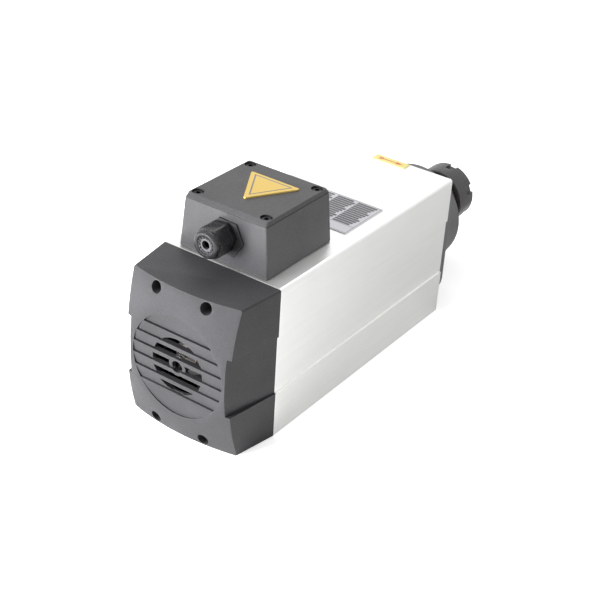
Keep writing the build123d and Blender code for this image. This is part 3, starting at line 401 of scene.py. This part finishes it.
# The nut's edges are painted a light grey: partly rubbed oxide, partly painted highlight.
nut_edge_highlight_and_rubbing = (0.42, 0.42, 0.43, 1)
blackened_steel = finish("blackened_steel", nut_light, nut_dark, scale=4200.0, smooth=0.24, rough=0.38,
                         metal=0.85, bump=0.14, depth=0.00003, edge_highlight_and_rubbing_colour=nut_edge_highlight_and_rubbing, edge_amount=0.8,
                         turned_on=(0, 0, 0))
hard_steel = finish("hardened_steel", (0.62, 0.62, 0.63, 1), (0.46, 0.46, 0.47, 1), scale=5200.0,
                    smooth=0.16, rough=0.30, metal=1.0, bump=0.08, depth=0.00002, turned_on=(0, 0, 0))
eased_copy("notched_nut", "collet_nut", blackened_steel, "nut", "nut_steel", edge=0.0005, steps=3)
dress(hard_steel, "spring_collet", "nut_pull_ring")


# ---- fan cover ---------------------------------------------------------------------------------
# A charcoal plastic moulding: tapered sides, a shallow domed back with a slatted grille sunk into
# it, and a deep well for each of its four screws. The mould is spark eroded to a fine matt grain.
cover_light = (0.038, 0.0372, 0.0405, 1)
cover_dark = (0.024, 0.0238, 0.0255, 1)
# The cover's edges are painted lighter: partly rubbing, partly painted highlight.
cover_edge_highlight_and_rubbing = (0.14, 0.14, 0.145, 1)
charcoal = finish("charcoal_moulding", cover_light, cover_dark, scale=1500.0, smooth=0.42, rough=0.62,
                  bump=0.30, depth=0.00005, edge_highlight_and_rubbing_colour=cover_edge_highlight_and_rubbing, edge_amount=0.45, specular=0.45)
eased_copy("fan_cover", "rear_cover", charcoal, "motor_frame", "cover_plastic", edge=0.0004, steps=3)


# ---- terminal box ------------------------------------------------------------------------------
# Two mouldings of the same plastic in a coarser grain: the drafted base on its rubber seal, and
# the lid that its four corner screws hold down.
box_light = (0.040, 0.0395, 0.0425, 1)
box_dark = (0.019, 0.0188, 0.0205, 1)
# The box's edges are painted lighter: partly rubbing, partly painted highlight.
box_edge_highlight_and_rubbing = (0.15, 0.15, 0.155, 1)
box_moulding = finish("box_moulding", box_light, box_dark, scale=1100.0, smooth=0.30, rough=0.50,
                      bump=0.38, depth=0.00006, edge_highlight_and_rubbing_colour=box_edge_highlight_and_rubbing, edge_amount=0.45, specular=0.8)
eased_copy("box_base", "terminal_box_base", box_moulding, "motor_frame", "box_plastic")
eased_copy("box_lid", "terminal_box_lid", box_moulding, "motor_frame", "box_plastic")
seal_black = finish("seal_black", (0.030, 0.030, 0.030, 1), (0.018, 0.018, 0.018, 1), scale=900.0,
                    smooth=0.62, rough=0.82, bump=0.3)
dress(seal_black, "box_gasket", "lid_gasket", "lead_grommet")


# ---- cable gland -------------------------------------------------------------------------------
# Glossy black nylon: a hexagonal flange and a dome nut with six flats. A dull six-sided plate lies
# between the flange and the box. The nut's mouth holds the dark rubber seal, and the ring of teeth
# that closes round the cable moves with it.
tooth_count, tooth_inner, tooth_outer, tooth_height = 14, 0.0046, 0.0064, 0.0008
tooth_share = 0.72
tooth_root = 0.0002
tooth_taper = 0.0003
tooth_rounding = 0.00012
arc_steps = 3
sharp_angle = 0.6

# The nylon's edges are painted a lighter grey: partly rubbing, partly painted highlight.
nylon = finish("black_nylon", (0.016, 0.016, 0.0175, 1), (0.008, 0.008, 0.009, 1), scale=1800.0,
               smooth=0.16, rough=0.30, bump=0.10, depth=0.00003,
               edge_highlight_and_rubbing_colour=(0.14, 0.14, 0.145, 1))
eased_copy("gland_flange", "gland_body", nylon, "motor_frame", "gland_nylon", edge=0.0005, steps=3)
eased_copy("gland_nut", "gland_dome_nut", nylon, "gland_nut", "gland_nylon", edge=0.0005, steps=3)
dress(nylon, "gland_locknut")
plate_grey = finish("plate_grey", (0.030, 0.030, 0.0315, 1), (0.018, 0.018, 0.019, 1), scale=1100.0,
                    smooth=0.45, rough=0.62, bump=0.25)
dress(plate_grey, "gland_washer")
grey_rubber = finish("grey_rubber", (0.085, 0.085, 0.09, 1), (0.055, 0.055, 0.06, 1), scale=1200.0,
                     smooth=0.55, rough=0.75, bump=0.3)
dress(grey_rubber, "gland_seal")


def node_box(name):
    """Lowest and highest corner of a CAD node."""
    points = [nodes[name].matrix_world @ v.co for v in nodes[name].data.vertices]
    return (Vector([min(p[i] for p in points) for i in range(3)]),
            Vector([max(p[i] for p in points) for i in range(3)]))


seal_low, seal_high = node_box("gland_seal")
seal_face = seal_low.y
seal_x, seal_z = (seal_low.x + seal_high.x) / 2, (seal_low.z + seal_high.z) / 2
shape = bmesh.new()
for tooth in range(tooth_count):
    start = 2 * math.pi * tooth / tooth_count
    span = 2 * math.pi / tooth_count * tooth_share
    outlines = []
    for y, inner, outer in ((seal_face + tooth_root, tooth_inner, tooth_outer),
                            (seal_face - tooth_height, tooth_inner + tooth_taper,
                             tooth_outer - tooth_taper)):
        corners = []
        for reach, order in ((inner, range(arc_steps + 1)), (outer, range(arc_steps, -1, -1))):
            for step in order:
                angle = start + span * step / arc_steps
                corners.append(shape.verts.new((seal_x + reach * math.cos(angle), y,
                                                seal_z + reach * math.sin(angle))))
        outlines.append(corners)
    root, top = outlines
    shape.faces.new(root)
    shape.faces.new(top)
    for i in range(len(root)):
        j = (i + 1) % len(root)
        shape.faces.new((root[i], root[j], top[j], top[i]))
bmesh.ops.recalc_face_normals(shape, faces=shape.faces)
sharp_edges = [e for e in shape.edges if e.calc_face_angle(0) > sharp_angle]
bmesh.ops.bevel(shape, geom=sharp_edges, offset=tooth_rounding, segments=2, affect="EDGES")
bmesh.ops.recalc_face_normals(shape, faces=shape.faces)
teeth_mesh = bpy.data.meshes.new("clamping_teeth")
shape.to_mesh(teeth_mesh)
shape.free()
place_piece("clamping_teeth", teeth_mesh, [nylon], "cable_seal", "gland_nylon")


# ---- screws ------------------------------------------------------------------------------------
# Socket head screws: blackened ones that hold the castings and covers, and bright zinc plated ones
# inside the terminal box.
black_oxide = finish("black_oxide", (0.050, 0.050, 0.054, 1), (0.022, 0.022, 0.024, 1), scale=2400.0,
                     smooth=0.26, rough=0.42, metal=0.8, bump=0.12, depth=0.00002)
zinc = finish("bright_zinc", (0.74, 0.74, 0.76, 1), (0.58, 0.58, 0.60, 1), scale=2400.0,
              smooth=0.22, rough=0.36, metal=1.0, bump=0.10, depth=0.00002)
dress(black_oxide, "front_plate_screws", "front_cap_screws", "cover_screws", "lid_screws",
      "slinger_grub_screws")
dress(zinc, "rear_plate_screws", "box_fixing_screws", "terminal_screws", "terminal_block_screws",
      "earth_screw")


# ---- motor inside the housing ------------------------------------------------------------------
# Seen through the grille and with the covers off: the stacked stator and rotor with their copper
# and cast cage, the rear plate, the fan and its circlip.
stack_steel = finish("stacked_steel", (0.20, 0.205, 0.215, 1), (0.10, 0.105, 0.11, 1), scale=1600.0,
                     stretch=(0.2, 4.0, 0.2), smooth=0.38, rough=0.58, metal=0.85, bump=0.35)
copper = finish("varnished_copper", (0.42, 0.15, 0.055, 1), (0.24, 0.075, 0.028, 1), scale=1100.0,
                stretch=(0.4, 2.0, 0.4), smooth=0.24, rough=0.40, metal=0.6, bump=0.45)
cast_metal = finish("cast_aluminium", (0.58, 0.58, 0.575, 1), (0.40, 0.40, 0.40, 1), scale=1300.0,
                    smooth=0.40, rough=0.60, metal=0.9, bump=0.40, depth=0.00006)
fan_black = finish("fan_black", (0.030, 0.030, 0.032, 1), (0.016, 0.016, 0.017, 1), scale=1500.0,
                   smooth=0.30, rough=0.48)
dress(stack_steel, "stator_core", "rotor_core")
dress(copper, "stator_winding")
dress(cast_metal, "rotor_cage", "rear_bearing_plate")
dress(fan_black, "cooling_fan")
dress(ground_steel, "fan_circlip")


# ---- bearings ----------------------------------------------------------------------------------
# Ground and polished rings and balls, brown resin cages, the spacers between the front pair, the
# locknut that clamps them and the wave spring behind the rear one.
race_steel = finish("race_steel", (0.66, 0.66, 0.67, 1), (0.52, 0.52, 0.53, 1), scale=5200.0,
                    smooth=0.12, rough=0.26, metal=1.0, bump=0.06, depth=0.00001, turned_on=(0, 0, 0))
resin = finish("cage_resin", (0.26, 0.14, 0.055, 1), (0.15, 0.075, 0.028, 1), scale=1900.0,
               smooth=0.36, rough=0.55, bump=0.25)
dress(race_steel, "front_bearing_inner_rings", "front_bearing_outer_rings", "front_bearing_balls",
      "inner_bearing_spacer", "outer_bearing_spacer", "rear_bearing_inner_ring",
      "rear_bearing_outer_ring", "rear_bearing_balls", "rear_wave_spring")
dress(resin, "front_bearing_cages", "rear_bearing_cage")
dress(blackened_steel, "bearing_locknut")


# ---- terminal block ----------------------------------------------------------------------------
# Cream moulded block on the floor of the terminal box, with its brass clamps.
cream = finish("cream_moulding", (0.62, 0.59, 0.49, 1), (0.48, 0.45, 0.36, 1), scale=1300.0,
               smooth=0.40, rough=0.60, bump=0.3)
brass = finish("turned_brass", (0.62, 0.42, 0.13, 1), (0.44, 0.28, 0.08, 1), scale=2200.0,
               smooth=0.22, rough=0.40, metal=1.0, bump=0.15)
dress(cream, "terminal_block")
dress(brass, "terminal_clamps")


# ---- plates and label --------------------------------------------------------------------------
# A silver foil nameplate with a blank table, a yellow label with a red arrow, and the gold
# triangle with a grey border. The inks stand 0.03 mm proud of their foils and are open underneath.
ink_height = 0.00003
foil = finish("silver_foil", (0.80, 0.80, 0.84, 1), (0.73, 0.73, 0.77, 1), scale=1500.0,
              smooth=0.30, rough=0.44, metal=0.4, bump=0.10, depth=0.00002)
grey_ink = finish("grey_ink", (0.230, 0.230, 0.245, 1), (0.150, 0.150, 0.160, 1), scale=1800.0,
                  smooth=0.40, rough=0.60)
vinyl = finish("yellow_vinyl", (0.84, 0.76, 0.28, 1), (0.76, 0.68, 0.23, 1), scale=1500.0,
               smooth=0.34, rough=0.50, bump=0.12)
red_ink = finish("red_ink", (0.66, 0.13, 0.075, 1), (0.54, 0.09, 0.05, 1), scale=1800.0,
                 smooth=0.38, rough=0.56)
# The gold foil's edges are painted paler: partly rubbing, partly painted highlight.
gold = finish("gold_foil", (0.78, 0.56, 0.150, 1), (0.68, 0.47, 0.115, 1), scale=1500.0,
              smooth=0.28, rough=0.44, metal=0.25, bump=0.15, depth=0.00003,
              edge_highlight_and_rubbing_colour=(0.92, 0.72, 0.30, 1), edge_amount=0.5)
dress(foil, "nameplate")
dress(vinyl, "direction_label")
dress(gold, "triangle_plate")


def printed(name, outlines, height, material, slot):
    """Ink on a plate: flat outlines in X and Y raised by the height of the ink."""
    shape = bmesh.new()
    for outline in outlines:
        low = [shape.verts.new((x, y, height)) for x, y in outline]
        high = [shape.verts.new((x, y, height + ink_height)) for x, y in outline]
        shape.faces.new(high)
        for i in range(len(outline)):
            j = (i + 1) % len(outline)
            shape.faces.new((low[i], low[j], high[j], high[i]))
    bmesh.ops.recalc_face_normals(shape, faces=shape.faces)
    mesh = bpy.data.meshes.new(name)
    shape.to_mesh(mesh)
    shape.free()
    place_piece(name, mesh, [material], "motor_frame", slot)


def bar(x0, y0, x1, y1):
    """Outline of a rectangle between two opposite corners."""
    return [(x0, y0), (x1, y0), (x1, y1), (x0, y1)]


low, high = node_box("nameplate")
rim, line = 0.0009, 0.00035
header = 0.0105
rows, columns = 12, 4
table_inset, table_gap_near, table_gap_far = 0.0016, 0.0008, 0.0010
bar_gap, bar_gap_right, bar_gap_far = 0.0003, 0.0008, 0.0004
bar_lengths, longest_cut = 4, 0.0026
left, right_side = low.x + rim, high.x - rim
near, far = low.y + rim, high.y - rim
bars = [bar(left, near, right_side, near + line), bar(left, far - line, right_side, far),
        bar(left, near + line, left + line, far - line),
        bar(right_side - line, near + line, right_side, far - line),
        bar(left + line, near + header, right_side - line, near + header + line)]
table_left, table_right = left + table_inset, right_side - table_inset
table_near, table_far = near + header + table_gap_near, far - table_gap_far
row_pitch = (table_far - table_near) / rows
column_pitch = (table_right - table_left) / columns
for row in range(rows):
    for column in range(columns):
        x0 = table_left + column * column_pitch
        y0 = table_near + row * row_pitch
        shorter = longest_cut * ((3 * row + 5 * column) % bar_lengths) / (bar_lengths - 1)
        bars.append(bar(x0 + bar_gap, y0 + bar_gap, x0 + column_pitch - bar_gap_right - shorter,
                        y0 + row_pitch - bar_gap_far))
printed("nameplate_table", bars, high.z, grey_ink, "plate_foil")

low, high = node_box("direction_label")
centre = (low.y + high.y) / 2
tail_gap, neck_gap, tip_gap = 0.0045, 0.0100, 0.0035
tail, neck, tip = low.x + tail_gap, high.x - neck_gap, high.x - tip_gap
shaft_half, head_half, barb = 0.00055, 0.0019, 0.0008
feather_root, feather_tip, feather_pitch = (0.0006, 0.0018), (-0.0010, 0.0002), 0.0021
arrow = [(tail, centre + shaft_half), (tail, centre - shaft_half), (neck, centre - shaft_half),
         (neck - barb, centre - head_half), (tip, centre), (neck - barb, centre + head_half),
         (neck, centre + shaft_half)]
feathers = [[(tail + feather_root[0] + along, centre + side * shaft_half),
             (tail + feather_tip[0] + along, centre + side * head_half),
             (tail + feather_tip[1] + along, centre + side * head_half),
             (tail + feather_root[1] + along, centre + side * shaft_half)]
            for side in (-1, 1) for along in (0, feather_pitch)]
printed("turning_arrow", [arrow, *feathers], high.z, red_ink, "label_vinyl")

low, high = node_box("triangle_plate")
tip_y, base_y, half_base = low.y, high.y, (high.x - low.x) / 2
centre_x = (low.x + high.x) / 2
border_outer_inset, border_inner_inset = 0.0024, 0.0034
root_three = 1.732


def triangle_round(inset):
    """Corners of the triangle drawn this far inside the plate's edge."""
    return [(centre_x, tip_y + 2 * inset),
            (centre_x + half_base - root_three * inset, base_y - inset),
            (centre_x - half_base + root_three * inset, base_y - inset)]


border_out, border_in = triangle_round(border_outer_inset), triangle_round(border_inner_inset)
strips = [[border_out[i], border_out[(i + 1) % 3], border_in[(i + 1) % 3], border_in[i]]
          for i in range(3)]
printed("triangle_border", strips, high.z, grey_ink, "triangle_foil")
